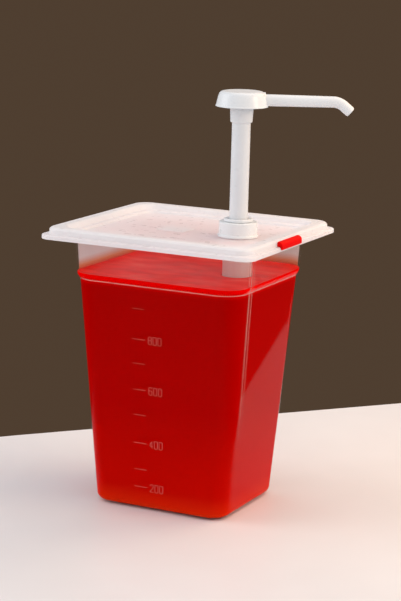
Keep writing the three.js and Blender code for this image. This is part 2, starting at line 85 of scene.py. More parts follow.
camera_data = bpy.data.cameras.new("view")
camera_data.lens = LENS
camera_data.sensor_width = SENSOR
camera = bpy.data.objects.new("view", camera_data)
bpy.context.scene.collection.objects.link(camera)
camera.matrix_world = Matrix((
    (tilted_right.x, tilted_up.x, -forward.x, place.x),
    (tilted_right.y, tilted_up.y, -forward.y, place.y),
    (tilted_right.z, tilted_up.z, -forward.z, place.z),
    (0.0, 0.0, 0.0, 1.0),
))
bpy.context.scene.camera = camera
print("camera stands at", [round(v, 3) for v in place])

# %% [markdown]
# ## Table, light and air
# A pale worktop with rounded corners and a soft sheen carries the dispenser. A box of light above it, a
# wide one on its left and a small warm one on its right light it, and a low warm glow falls on the
# worktop beside it. The room is dark where the camera or a reflection sees it, so that the white pump
# stands out, and pale where it only sheds light. Outside the camera's view the worktop is cut away on
# the right, so that the container mirrors it low down only.

# %% Make the worktop
TABLE_CORNERS = [(0.29, 0.644), (-0.30, -0.03), (-0.42, -1.0), (0.60, -1.0), (0.148, 0.135)]
TABLE_ROUNDING = [0.06, 0.16, 0.10, 0.10, 0.02]
TABLE_THICK = 0.03


def lit_material(name):
    """An empty node material with its output and one Principled shader."""
    material = bpy.data.materials.new(name)
    material.use_nodes = True
    tree = material.node_tree
    tree.nodes.clear()
    output = tree.nodes.new("ShaderNodeOutputMaterial")
    shader = tree.nodes.new("ShaderNodeBsdfPrincipled")
    tree.links.new(shader.outputs["BSDF"], output.inputs["Surface"])
    return material, tree, shader, output


def noise(tree, scale, detail=4.0, roughness=0.5, stretch=(1, 1, 1)):
    """Noise in object coordinates; stretch gives the pattern's size along each axis."""
    where = tree.nodes.new("ShaderNodeTexCoord")
    mapping = tree.nodes.new("ShaderNodeMapping")
    mapping.inputs["Scale"].default_value = [1 / s for s in stretch]
    pattern = tree.nodes.new("ShaderNodeTexNoise")
    pattern.inputs["Scale"].default_value = scale
    pattern.inputs["Detail"].default_value = detail
    pattern.inputs["Roughness"].default_value = roughness
    tree.links.new(where.outputs["Object"], mapping.inputs["Vector"])
    tree.links.new(mapping.outputs["Vector"], pattern.inputs["Vector"])
    return pattern.outputs["Fac"]


def blend_colours(tree, driver, stops):
    """A colour ramp over a driver, as (place, colour) stops."""
    ramp = tree.nodes.new("ShaderNodeValToRGB")
    elements = ramp.color_ramp.elements
    while len(elements) < len(stops):
        elements.new(0.5)
    for element, (where, colour) in zip(elements, stops):
        element.position = where
        element.color = (*colour, 1.0)
    tree.links.new(driver, ramp.inputs["Fac"])
    return ramp.outputs["Color"]


def spread(tree, driver, low, high, start=0.3, end=0.7):
    """Stretches a driver from start..end on to low..high."""
    node = tree.nodes.new("ShaderNodeMapRange")
    node.inputs["From Min"].default_value = start
    node.inputs["From Max"].default_value = end
    node.inputs["To Min"].default_value = low
    node.inputs["To Max"].default_value = high
    tree.links.new(driver, node.inputs["Value"])
    return node.outputs["Result"]


def combine(tree, operation, a, b=0.0):
    """One sum on two drivers, either of which may be a plain number."""
    node = tree.nodes.new("ShaderNodeMath")
    node.operation = operation
    for socket, value in zip(node.inputs, (a, b)):
        if isinstance(value, (int, float)):
            socket.default_value = value
        else:
            tree.links.new(value, socket)
    return node.outputs["Value"]


def times(tree, a, b):
    """Product of two drivers."""
    return combine(tree, "MULTIPLY", a, b)


def bump(tree, height, distance):
    """A bump from a height pattern, with its depth in metres."""
    node = tree.nodes.new("ShaderNodeBump")
    node.inputs["Strength"].default_value = 1.0
    node.inputs["Distance"].default_value = distance
    tree.links.new(height, node.inputs["Height"])
    return node.outputs["Normal"]


TINY = 1e-12                       # keeps a division by a zero length away


def soften(points, radii, steps=4, closed=True):
    """A line with each corner replaced by a small curve: a blend (1-t)^2 A + 2t(1-t) P + t^2 B."""
    points = np.array(points, float)
    radii = np.broadcast_to(np.array(radii, float), len(points)).copy()
    if not closed:
        radii[[0, -1]] = 0
    before = np.roll(points, 1, axis=0) - points
    after = np.roll(points, -1, axis=0) - points
    length_before = np.maximum(np.linalg.norm(before, axis=1), TINY)
    length_after = np.maximum(np.linalg.norm(after, axis=1), TINY)
    cut = np.minimum(radii, 0.49 * np.minimum(length_before, length_after))
    start = points + before * (cut / length_before)[:, None]
    end = points + after * (cut / length_after)[:, None]
    t = np.linspace(0, 1, steps + 1)[None, :, None]
    curve = (1 - t) ** 2 * start[:, None] + 2 * t * (1 - t) * points[:, None] + t ** 2 * end[:, None]
    line = curve.reshape(-1, points.shape[1])
    step = np.linalg.norm(line - np.roll(line, 1, axis=0), axis=1)
    keep = step > 1e-8
    keep[0] = True
    return line[keep]


def slab(name, edge, thick):
    """A flat slab: the closed line `edge` at z = 0 and at z = -thick, with its sides joined."""
    count = len(edge)
    points = np.vstack([np.column_stack([edge, np.full(count, z)]) for z in (0.0, -thick)])
    index = np.arange(count)
    after = (index + 1) % count
    sides = np.stack([index, index + count, after + count, after], axis=1)
    faces = [index.tolist(), (index[::-1] + count).tolist()] + sides.tolist()
    mesh = bpy.data.meshes.new(name)
    mesh.from_pydata(points.tolist(), [], faces)
    piece = bpy.data.objects.new(name, mesh)
    bpy.context.scene.collection.objects.link(piece)
    return piece


worktop = slab("worktop", soften(TABLE_CORNERS, TABLE_ROUNDING, steps=24), TABLE_THICK)
table_paint, tree, shader, _ = lit_material("worktop_laminate")
shade = noise(tree, 6.0, 3.0)
tree.links.new(blend_colours(tree, shade, [(0.3, (0.77, 0.735, 0.73)), (0.7, (0.81, 0.78, 0.775))]),
               shader.inputs["Base Color"])
tree.links.new(spread(tree, noise(tree, 40.0), 0.42, 0.50), shader.inputs["Roughness"])
worktop.data.materials.append(table_paint)

# %% Set the lights and the world
ROOM_SEEN = (0.078, 0.049, 0.030)  # the dim room behind the worktop, as the camera and gloss see it
ROOM_GLOW = (0.79, 0.80, 0.83)     # the light that the same room sheds on everything


def soft_box(name, where, target, size, power, colour=(1, 1, 1)):
    """A rectangular area light at `where`, facing `target`."""
    data = bpy.data.lights.new(name, "AREA")
    data.shape = "RECTANGLE"
    data.size, data.size_y = size
    data.energy = power
    data.color = colour
    light = bpy.data.objects.new(name, data)
    bpy.context.scene.collection.objects.link(light)
    light.location = where
    light.rotation_euler = (Vector(target) - Vector(where)).to_track_quat("-Z", "Y").to_euler()


MIDDLE = (0.0, 0.0, 0.15)
soft_box("top_box", (0.30, 0.30, 1.5), MIDDLE, (1.2, 1.0), 3.5, (1.0, 0.985, 0.97))
soft_box("left_box", (-1.3, -0.7, 0.8), MIDDLE, (1.0, 1.2), 8.0, (0.95, 0.98, 1.0))
soft_box("warm_box", (1.0, 0.05, 0.62), MIDDLE, (0.35, 0.35), 3.5, (1.0, 0.76, 0.52))
soft_box("table_glow", (0.30, 0.30, 0.50), (0.22, 0.20, 0.0), (0.3, 0.3), 1.0, (1.0, 0.55, 0.20))

world = bpy.data.worlds.new("room")
world.use_nodes = True
tree = world.node_tree
seen = tree.nodes.new("ShaderNodeLightPath")
direct = combine(tree, "MAXIMUM", seen.outputs["Is Camera Ray"], seen.outputs["Is Glossy Ray"])
tree.links.new(blend_colours(tree, direct, [(0.0, ROOM_GLOW), (1.0, ROOM_SEEN)]),
               tree.nodes["Background"].inputs["Color"])
bpy.context.scene.world = world
bpy.context.scene.view_settings.view_transform = "Standard"
CLEAR_LAYERS = 32                  # how many clear faces one ray may pass
bpy.context.scene.cycles.transparent_max_bounces = CLEAR_LAYERS

# %% [markdown]
# ## From a grid of points to a piece
# Every moulded piece here is a skin over a grid: rows run along its profile and columns run round it.
# Neighbouring points make the four corners of a face. Where a row shrinks to a point its doubles are
# merged, so poles are closed, and if the skin encloses a negative volume it is turned the right way out.

# %% Skin a grid
SHARP = math.radians(38)
MERGE, NO_LENGTH = 1e-7, 1e-8      # points this close are one, and an edge this short is none


def enclosed_volume(points, faces):
    """Sum over the faces of the tetrahedra that they make with the origin."""
    a, b, c, d = (points[faces[:, k]] for k in range(4))
    halves = np.einsum("ij,ij->i", a, np.cross(b, c)) + np.einsum("ij,ij->i", a, np.cross(c, d))
    return halves.sum() / 6


def grid_faces(grid, ring, first):
    """Faces of grid[row, column], numbered from `first` and turned to enclose a positive volume."""
    rows, columns = grid.shape[:2]
    points = grid.reshape(-1, 3)
    index = np.arange(rows * columns).reshape(rows, columns)
    after = np.roll(index, -1, axis=1)
    low, low_after = (index, after) if ring else (index[:-1], after[:-1])
    high, high_after = (np.roll(index, -1, 0), np.roll(after, -1, 0)) if ring else (index[1:], after[1:])
    faces = np.stack([low, low_after, high_after, high], axis=-1).reshape(-1, 4)
    if enclosed_volume(points, faces) < 0:
        faces = faces[:, ::-1]
    return points, faces + first


def skin(name, grid, ring=False, finish=(), extra=(), rings=()):
    """A piece over one or more grids whose columns close on themselves, and whose rows do too in a ring."""
    grids = [(g, ring) for g in (grid if isinstance(grid, list) else [grid])]
    grids += [(g, False) for g in extra] + [(g, True) for g in rings]
    points, faces, first = [], [], 0
    for shape, closed in grids:
        part_points, part_faces = grid_faces(shape, closed, first)
        points.append(part_points)
        faces.append(part_faces)
        first += len(part_points)
    mesh = bpy.data.meshes.new(name)
    mesh.from_pydata(np.vstack(points).tolist(), [], np.vstack(faces).tolist())
    tidy = bmesh.new()
    tidy.from_mesh(mesh)
    bmesh.ops.remove_doubles(tidy, verts=tidy.verts, dist=MERGE)
    bmesh.ops.dissolve_degenerate(tidy, edges=tidy.edges, dist=NO_LENGTH)
    tidy.to_mesh(mesh)
    tidy.free()
    mesh.shade_smooth()
    mesh.set_sharp_from_angle(angle=SHARP)
    piece = bpy.data.objects.new(name, mesh)
    bpy.context.scene.collection.objects.link(piece)
    weigh = piece.modifiers.new("face_weight", "WEIGHTED_NORMAL")
    weigh.keep_sharp = True
    for material in finish:
        mesh.materials.append(material)
    return piece


def choose_finish(mesh, rule):
    """Gives the faces that rule(middles, normals) picks the mesh's second finish."""
    middles, normals = np.empty((2, len(mesh.polygons) * 3))
    mesh.polygons.foreach_get("center", middles)
    mesh.polygons.foreach_get("normal", normals)
    picked = rule(middles.reshape(-1, 3), normals.reshape(-1, 3))
    mesh.polygons.foreach_set("material_index", picked.astype(np.int32))


def ride(piece, body, slot, *nodes):
    """Sets what a piece moves with and which frame nodes it stands for; the slot argument is not used."""
    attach(piece, body)
    if nodes:
        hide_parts(*nodes)
    print(f"{piece.name}: {len(piece.data.polygons)} faces, rides on {body}")


# %% [markdown]
# ## Clear and milky plastics
# The container is polypropylene. Where sauce wets its inside it looks as clear as glass, and above the
# sauce the dry wall is hazy. So its haze is mixed in by height, and a share of gloss that grows towards
# grazing angles lies over both. A smear of sauce fades out just above the level, and thin painted
# highlight lines round the shoulder and up one corner stand for the light that the wall's edges catch.
# The lid is thicker and milkier: part of the light is scattered back, part is passed through.

# %% Finishes for the clear container
SAUCE_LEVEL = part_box("sauce_fill")[1].z
OUTER_HAZE, INNER_HAZE = 0.02, 0.62
FILM_HEIGHT = 9.0 * MM              # how far above the sauce its smear fades out
EDGE_HEIGHT = 177.4 * MM            # the shoulder's lower edge, where its painted highlight line lies
EDGE_LEAN, EDGE_START, EDGE_STEP = 0.0529, -30.0 * MM, 4.2 * MM    # the corner's two painted highlight lines
EDGE_FADE = (55 * MM, 150 * MM)     # the two lines grow from nothing to full between these heights
SHOULDER_SHARE, CORNER_SHARE, SECOND_SHARE = 0.40, 0.42, 0.6       # how strong each painted highlight line is
MOULD_GRAIN = 0.00001               # depth of a mould's fine grain


def own_axes(tree):
    """A piece's own x, y and z, as drivers."""
    where = tree.nodes.new("ShaderNodeTexCoord")
    split = tree.nodes.new("ShaderNodeSeparateXYZ")
    tree.links.new(where.outputs["Object"], split.inputs["Vector"])
    return [split.outputs[axis] for axis in "XYZ"]


def outer_faces(tree):
    """1 on a face seen from its outer side, 0 from behind."""
    side = tree.nodes.new("ShaderNodeNewGeometry")
    return spread(tree, side.outputs["Backfacing"], 1.0, 0.0, 0.0, 1.0)


def height_share(tree, low, high):
    """0 below `low`, 1 above `high`, in the piece's own height."""
    return spread(tree, own_axes(tree)[2], 0.0, 1.0, low, high)


def near(tree, driver, middle, reach):
    """1 where a driver is at `middle`, falling evenly to 0 at `reach` from it."""
    gap = combine(tree, "ABSOLUTE", combine(tree, "SUBTRACT", driver, middle))
    return spread(tree, gap, 1.0, 0.0, 0.0, reach)


def gloss_share(tree, least, most, power):
    """Gloss of an outer face: least + most * (1 - cosine of the view angle) ^ power; none inside."""
    layer = tree.nodes.new("ShaderNodeLayerWeight")
    layer.inputs["Blend"].default_value = 0.5
    steep = combine(tree, "POWER", layer.outputs["Facing"], power)
    return times(tree, spread(tree, steep, least, least + most, 0.0, 1.0), outer_faces(tree))


def mix_shaders(tree, share, first, second):
    """Mix of two shaders; `share` is a number or a driver."""
    node = tree.nodes.new("ShaderNodeMixShader")
    if isinstance(share, (int, float)):
        node.inputs["Fac"].default_value = share
    else:
        tree.links.new(share, node.inputs["Fac"])
    tree.links.new(first, node.inputs[1])
    tree.links.new(second, node.inputs[2])
    return node.outputs["Shader"]


def painted_highlight_lines(tree):
    """Painted highlight lines, standing for light caught by the edges: round the shoulder, and up the front
    right corner.
    """
    x, y, z = own_axes(tree)
    shoulder = times(tree, near(tree, z, EDGE_HEIGHT, 0.55 * MM), SHOULDER_SHARE)
    leaning = combine(tree, "ADD", y, times(tree, z, EDGE_LEAN))
    pair = combine(tree, "MAXIMUM", near(tree, leaning, EDGE_START, 0.9 * MM),
                   times(tree, near(tree, leaning, EDGE_START + EDGE_STEP, 0.8 * MM), SECOND_SHARE))
    pair = times(tree, pair, height_share(tree, *EDGE_FADE))
    right_half = spread(tree, x, 0.0, 1.0, 0.0, 1 * MM)
    return combine(tree, "MAXIMUM", shoulder, times(tree, times(tree, pair, right_half), CORNER_SHARE))


def clear_plastic(name, haze):
    """Clear plastic: a dry wall's haze above the sauce, a smear that fades upwards, painted highlight lines
    on its edges, and gloss over all.
    """
    material, tree, shader, output = lit_material(name)
    smear = height_share(tree, SAUCE_LEVEL, SAUCE_LEVEL + FILM_HEIGHT)
    tone = blend_colours(tree, smear, [(0.0, (0.80, 0.045, 0.010)), (0.35, (0.90, 0.30, 0.14)),
                                       (1.0, (0.93, 0.89, 0.88))])
    tree.links.new(tone, shader.inputs["Base Color"])
    shader.inputs["Roughness"].default_value = 0.45
    shader.inputs["Specular IOR Level"].default_value = 0.1
    passing = tree.nodes.new("ShaderNodeBsdfTranslucent")
    tree.links.new(tone, passing.inputs["Color"])
    scatter = mix_shaders(tree, 0.45, shader.outputs["BSDF"], passing.outputs["BSDF"])
    window = tree.nodes.new("ShaderNodeBsdfTransparent")
    window.inputs["Color"].default_value = (1.0, 0.985, 0.98, 1.0)
    dry = height_share(tree, SAUCE_LEVEL - 0.4 * MM, SAUCE_LEVEL + 0.6 * MM)
    cloud = spread(tree, noise(tree, 25.0, stretch=(1, 1, 4)), haze * 0.9, haze * 1.1)
    share = times(tree, times(tree, dry, outer_faces(tree)), cloud)
    body = mix_shaders(tree, share, window.outputs["BSDF"], scatter)
    # Painted highlight: a pale shader mixed in along thin lines round the shoulder and up the front right
    # corner.
    painted_highlight = tree.nodes.new("ShaderNodeBsdfPrincipled")
    painted_highlight.inputs["Base Color"].default_value = (0.95, 0.50, 0.42, 1.0)
    body = mix_shaders(tree, painted_highlight_lines(tree), body, painted_highlight.outputs["BSDF"])
    sheen = tree.nodes.new("ShaderNodeBsdfGlossy")
    sheen.inputs["Roughness"].default_value = 0.03
    tree.links.new(bump(tree, noise(tree, 18.0, 1.0, stretch=(1, 1, 3)), 0.00005), sheen.inputs["Normal"])
    tree.links.new(mix_shaders(tree, gloss_share(tree, 0.002, 0.55, 5.0), body, sheen.outputs["BSDF"]),
                   output.inputs["Surface"])
    return material


clear_outside = clear_plastic("clear_polypropylene", OUTER_HAZE)
clear_inside = clear_plastic("clear_polypropylene_inside", INNER_HAZE)

# %% Finish for the milky lid


def clouded(tree, shader, tone, lift, cloud_scale, gloss_scale, roughness, uneven):
    """Slight clouding of tone, uneven gloss and the fine grain of a mould; gives the clouded tone."""
    pale = tuple(min(1.0, c * lift) for c in tone)
    cloud = blend_colours(tree, noise(tree, cloud_scale, 3.0), [(0.35, tone), (0.65, pale)])
    tree.links.new(cloud, shader.inputs["Base Color"])
    tree.links.new(spread(tree, noise(tree, gloss_scale), roughness - uneven, roughness + uneven),
                   shader.inputs["Roughness"])
    tree.links.new(bump(tree, noise(tree, 220.0, 2.0), MOULD_GRAIN), shader.inputs["Normal"])
    return cloud


def milky(name, tone, open_share, pass_share, roughness):
    """Plastic that shows some of what is behind it, scatters light back and passes light through."""
    material, tree, shader, output = lit_material(name)
    cloud = clouded(tree, shader, tone, 1.03, 30.0, 140.0, roughness, 0.04)
    passing = tree.nodes.new("ShaderNodeBsdfTranslucent")
    tree.links.new(cloud, passing.inputs["Color"])
    window = tree.nodes.new("ShaderNodeBsdfTransparent")
    solid = mix_shaders(tree, pass_share, shader.outputs["BSDF"], passing.outputs["BSDF"])
    tree.links.new(mix_shaders(tree, open_share, solid, window.outputs["BSDF"]), output.inputs["Surface"])
    return material


lid_plastic = milky("milky_polypropylene", (0.96, 0.94, 0.945), 0.21, 0.35, 0.30)
natural_plastic = milky("natural_polypropylene", (0.84, 0.845, 0.86), 0.04, 0.12, 0.30)
barrel_plastic = milky("barrel_polypropylene", (1.0, 0.95, 0.93), 0.10, 0.20, 0.30)
print("finishes so far:", [m.name for m in bpy.data.materials])

# %% [markdown]
# ## Opaque plastics, rubber and steel
# The head, spout, nut and guide are solid white polypropylene with a soft gloss and a fine mould grain.
# The clip is the same plastic, coloured through. Seals are matt, and the spring and balls are bright
# steel.

# %% Opaque finishes


def moulded(name, tone, roughness):
    """Opaque coloured plastic or rubber from a mould."""
    material, tree, shader, _ = lit_material(name)
    clouded(tree, shader, tone, 1.04, 45.0, 160.0, roughness, 0.05)
    return material


white_plastic = moulded("white_polypropylene", (0.77, 0.78, 0.79), 0.30)
red_plastic = moulded("red_polypropylene", (0.72, 0.0, 0.0), 0.40)
red_plastic.node_tree.nodes["Principled BSDF"].inputs["Specular IOR Level"].default_value = 0.06
silicone = moulded("silicone", (0.74, 0.74, 0.73), 0.6)
elastomer = moulded("elastomer", (0.60, 0.61, 0.64), 0.62)

steel, tree, shader, _ = lit_material("bright_steel")
shader.inputs["Metallic"].default_value = 1.0
drawn = noise(tree, 400.0, 2.0, stretch=(1, 1, 6))
tree.links.new(blend_colours(tree, drawn, [(0.3, (0.55, 0.55, 0.56)), (0.7, (0.66, 0.66, 0.67))]),
               shader.inputs["Base Color"])
tree.links.new(spread(tree, drawn, 0.16, 0.28), shader.inputs["Roughness"])

# %% [markdown]
# ## The container
# A deep tapered box with rounded corners, blow- or injection-moulded in one piece. Its outline is the
# same rounded rectangle at every height and only its size and corner radius change, so the whole wall is
# one grid: heights down the rows and the outline round the columns. The profile runs up the outside,
# over the rim and down the inside. Seen from outside, the plastic bends light so that the sauce appears
# to fill the wall's full width, so behind the sauce the wall is drawn as a thin skin.

# %% Carry a rounded rectangle up a profile
CORNER_POINTS = 14
SIDE_SHARES = (0.02, 0.5, 0.98)


def outline_grid(half_x, half_y, radius, height, side_shares=SIDE_SHARES):
    """Rounded rectangles: a quarter circle of `radius` at each corner, joined by straight sides."""
    half_x, half_y, radius, height = (
        np.asarray(v, float)[:, None] for v in (half_x, half_y, radius, height))
    quarter = np.linspace(0, np.pi / 2, CORNER_POINTS)
    columns = []
    for corner, (sign_x, sign_y) in enumerate(((1, 1), (-1, 1), (-1, -1), (1, -1))):
        angle = (quarter + corner * np.pi / 2)[None, :]
        columns.append(np.stack([
            sign_x * (half_x - radius) + radius * np.cos(angle),
            sign_y * (half_y - radius) + radius * np.sin(angle),
            np.broadcast_to(height, (len(height), CORNER_POINTS)),
        ], axis=-1))
    sides = []
    for corner in range(4):
        start = columns[corner][:, -1:]
        end = columns[(corner + 1) % 4][:, :1]
        share = np.array(side_shares)[None, :, None]
        sides.append(start * (1 - share) + end * share)
    return np.concatenate([part for pair in zip(columns, sides) for part in pair], axis=1)


container_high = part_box("container_body")[1]
WALL = 2.0 * MM
WET_WALL, WET_FLOOR = 0.45 * MM, 1.3 * MM    # skin drawn in front of the sauce, and the floor's height
WALL_FOOT = np.array([56.45, 49.75]) * MM
WALL_DRAFT = 0.0729
WALL_CORNER, CORNER_GROWTH = 15.5 * MM, 0.020
BASE_FILLET = 6.5 * MM
SHOULDER = (177.0 * MM, 181.2 * MM)
COLLAR_FOOT = np.array([70.6, 63.6]) * MM
COLLAR_DRAFT = 0.048
COLLAR_CORNER = 17.0 * MM
RIM = (207.9 * MM, container_high.z)
RIM_HALF = np.array([container_high.x, container_high.y])
RIM_CORNER = 8.6 * MM
FOOT_RECESS = 0.8 * MM             # the middle of the base stands clear of the table
RECESS_EDGE = np.array([5.2, 4.4]) * MM    # the recess's slope, measured in from the foot's edge
LEAST_CORNER = 1.5 * MM


def wall_at(height):
    """Half sizes and corner radius of the outside at each height: tapered wall, shoulder, then collar."""
    height = np.asarray(height, float)[:, None]
    tapered = WALL_FOOT + WALL_DRAFT * np.minimum(height, SHOULDER[0])
    collar = COLLAR_FOOT + COLLAR_DRAFT * np.maximum(height - SHOULDER[1], 0)
    rise = np.clip((height - SHOULDER[0]) / (SHOULDER[1] - SHOULDER[0]), 0, 1)
    eased = np.sin(rise * np.pi / 2)
    half = tapered * (1 - eased) + collar * eased
    conical = WALL_CORNER + CORNER_GROWTH * np.minimum(height, SHOULDER[0])
    return half, (conical * (1 - eased) + COLLAR_CORNER * eased)[:, 0]


def wall_rows(start, end, inset, fillet):
    """Rows up the wall, `inset` inside the outside: a fillet at the foot, then even steps to the end."""
    angle = np.linspace(0, np.pi / 2, 10)
    foot_height = start + fillet * (1 - np.cos(angle))
    pull = fillet * (1 - np.sin(angle))
    steps = np.concatenate([
        np.linspace(foot_height[-1] + 1 * MM, SHOULDER[0] - 1 * MM, 6),
        np.linspace(SHOULDER[0], SHOULDER[1], 14),
        np.linspace(SHOULDER[1] + 1 * MM, end, 4),
    ])
    steps = steps[steps <= end + 1e-9]
    height = np.concatenate([foot_height, steps])
    draw_in = np.concatenate([pull, np.zeros(len(steps))]) + inset
    half, corner = wall_at(height)
    corner = np.maximum(corner - draw_in, LEAST_CORNER)
    return np.column_stack([half - draw_in[:, None], corner, height])


outside = wall_rows(0.0, RIM[0] - 0.8 * MM, 0.0, BASE_FILLET)
inside = wall_rows(WET_FLOOR, RIM[1] - 0.8 * MM, WET_WALL, BASE_FILLET - WET_FLOOR)
dry = inside[:, 3] > SAUCE_LEVEL
inside[dry, :3] -= WALL - WET_WALL
foot = outside[0]
base = np.array([
    [0, 0, 0, FOOT_RECESS],
    [*(foot[:3] * 0.5), FOOT_RECESS],
    [*(foot[:3] - RECESS_EDGE[0]), FOOT_RECESS],
    [*(foot[:3] - RECESS_EDGE[1]), 0.0],
])
rim_top_half = wall_at([RIM[1]])[0]
rim = np.array([
    [*(rim_top_half[0] + 0.6 * MM), COLLAR_CORNER + 0.3 * MM, RIM[0]],
    [*(RIM_HALF - 0.5 * MM), RIM_CORNER, RIM[0]],
    [*RIM_HALF, RIM_CORNER, RIM[0] + 0.5 * MM],
    [*RIM_HALF, RIM_CORNER, RIM[1] - 0.4 * MM],
    [*(RIM_HALF - 0.4 * MM), RIM_CORNER, RIM[1]],
    [*(rim_top_half[0] - WALL + 0.8 * MM), COLLAR_CORNER - 1.6 * MM, RIM[1]],
])
floor_rows = np.array([[*(inside[0, :3] * 0.5), WET_FLOOR], [0, 0, 0, WET_FLOOR]])
profile = np.vstack([base, outside, rim, inside[::-1], floor_rows])
container = skin("container_shell", outline_grid(*profile.T), finish=[clear_outside, clear_inside])


def faces_inwards(middles, normals):
    """Faces of the wall that look towards its middle, and the floor."""
    inwards = (normals[:, :2] * middles[:, :2]).sum(axis=1) < 0
    return inwards | ((normals[:, 2] > 0.7) & (middles[:, 2] < SHOULDER[0]))


choose_finish(container.data, faces_inwards)
ride(container, "container", "clear_polypropylene", "container_body")
print("rim in mm:", (RIM_HALF * 2 / MM).round(1), "collar corner", COLLAR_CORNER / MM)

# %% [markdown]
# ## The sauce
# The sauce fills the container up to just above the shoulder, so it has the same outline as the inside
# of the wall, a hair smaller, and it stands clear of the barrel and dip tube by a well that goes down
# round them. Its top creeps up the wall in a small meniscus and is left in slow swirls by stirring. The
# swirls are a sum of a few tilted waves, warped by each other.

# %% Fill the container
SAUCE_GAP = 0.12 * MM
PUMP_X = 40.0 * MM
PUMP_HOLE = np.array([(11.75, 181), (11.75, 100.8), (7, 94.8), (7, 81.4), (5, 81.4), (5, 7.4),
                      (0, 7.4)]) * MM
MENISCUS = 0.5 * MM
SWIRL = 0.32 * MM
TOP_ROWS = 40


def round_neck(outline, radius, height):
    """Circles about the pump's axis, each point in the same direction as its point of the outline."""
    angle = np.arctan2(outline[:, 1], outline[:, 0] - PUMP_X)[None, :]
    radius, height = np.broadcast_arrays(np.asarray(radius, float), np.asarray(height, float)[:, None])
    radius = np.broadcast_to(radius, (len(height), angle.shape[1]))
    height = np.broadcast_to(height, radius.shape)
    return np.stack([PUMP_X + radius * np.cos(angle), radius * np.sin(angle), height], axis=-1)


def swirls(x, y):
    """Height of the stirred top: waves along one heading, bent by slower waves across it."""
    bend = 9 * MM * np.sin(x / (21 * MM) + 0.6) + 6 * MM * np.sin((x + y) / (33 * MM))
    first = np.sin((y * 0.9 + x * 0.35 + bend) / (4.6 * MM))
    second = np.sin((y * 0.6 - x * 0.7 + 1.3 * bend) / (9.5 * MM) + 1.1)
    return SWIRL * (0.45 * first + 0.55 * second)


sauce_inset, sauce_foot = WET_WALL + SAUCE_GAP, WET_FLOOR + SAUCE_GAP
sauce_side = wall_rows(sauce_foot, SAUCE_LEVEL, sauce_inset, BASE_FILLET - sauce_foot)
start = sauce_side[0]
sauce_floor = np.array([[0, 0, 0, start[3]], [*(start[:3] * 0.5), start[3]]])
SAUCE_SIDE = np.linspace(0, 1, 14)[1:-1]
sides = outline_grid(*np.vstack([sauce_floor, sauce_side]).T, side_shares=SAUCE_SIDE)
hole = round_neck(sides[-1, :, :2], PUMP_HOLE[:, :1], PUMP_HOLE[:, 1])
share = np.linspace(1, 0, TOP_ROWS)[:, None, None]
brim = np.concatenate([hole[0, :, :2], np.full((sides.shape[1], 1), SAUCE_LEVEL)], axis=1)
top = brim + (sides[-1] - brim) * share
creep = np.clip(4 * np.sqrt(1 - share[..., 0]), 0, 1)
calm = np.clip(4 * share[..., 0], 0, 1)
top[..., 2] += swirls(top[..., 0], top[..., 1]) * creep * calm - MENISCUS * creep
sauce_grid = np.concatenate([sides[:-1], top, hole])

# %% Finishes for the sauce's sides and for its top
side_paint, tree, shader, _ = lit_material("red_sauce_behind_wall")
# Painted light: the side is lighter and more orange towards its foot, where light shows through a thin
# layer of sauce, darker up the middle, and bright red in a narrow band just under the level, where more
# light reaches it.
painted_light_by_height = blend_colours(tree, height_share(tree, 0.0, SAUCE_LEVEL), [
    (0.0, (0.75, 0.045, 0.004)), (0.035, (0.66, 0.015, 0.001)), (0.10, (0.54, 0.001, 0.0)),
    (0.45, (0.41, 0.0, 0.0)), (0.955, (0.37, 0.0, 0.0)), (0.985, (0.78, 0.0, 0.0)),
])
tree.links.new(painted_light_by_height, shader.inputs["Base Color"])
shader.inputs["Roughness"].default_value = 0.6
shader.inputs["Specular IOR Level"].default_value = 0.0

top_paint, tree, shader, _ = lit_material("red_sauce")
streak = noise(tree, 34.0, 5.0, stretch=(1.0, 0.45, 1.0))
tree.links.new(blend_colours(tree, streak, [(0.38, (0.84, 0.001, 0.0)), (0.55, (0.98, 0.006, 0.004)),
                                            (0.70, (1.0, 0.09, 0.07))]), shader.inputs["Base Color"])
tree.links.new(spread(tree, noise(tree, 55.0), 0.30, 0.42), shader.inputs["Roughness"])
shader.inputs["Specular IOR Level"].default_value = 0.12
tree.links.new(bump(tree, noise(tree, 120.0, 2.0), 0.00006), shader.inputs["Normal"])

sauce = skin("sauce", sauce_grid, finish=[side_paint, top_paint])
choose_finish(sauce.data, lambda middles, normals: (normals[:, 2] > 0.5) & (middles[:, 2] > SHOULDER[0]))
ride(sauce, "container", "sauce", "sauce_fill")
print("sauce level in mm:", round(SAUCE_LEVEL / MM, 1))

# %% [markdown]
# ## The lid
# The press-on lid is a shallow tray turned upside down: a skirt and flange outside, a raised tier over
# the container's rim, and a sunk panel in the middle. The pump's threaded neck is moulded in one with
# it. The whole lid is one grid that closes on itself: over the top, in to the neck, down its bore, and
# back along the underside. Between panel and neck the outline changes from rectangle to circle, and
# each point keeps its direction from the neck, so nothing folds over.

# %% Rows of the lid
lid_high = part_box("lid")[1]
LID_HALF = np.array([lid_high.x, lid_high.y])
LID_SIDE = np.linspace(0, 1, 20)[1:-1]
NECK_RADIUS = 12.45 * MM
NECK_TOP = lid_high.z
PANEL_TOP, PANEL_UNDER = 211.2, 209.4
THREAD_RISE, THREAD_PITCH, THREAD_START = 0.5 * MM, 3.0 * MM, 213.4 * MM


def inset_rows(points, radii, closed=False):
    """Rows for outline_grid from (inset, corner radius, height) in mm, with their corners softened."""
    inset, corner, height = soften(np.array(points) * MM, np.array(radii) * MM, closed=closed).T
    return np.column_stack([LID_HALF[0] - inset, LID_HALF[1] - inset, corner, height])


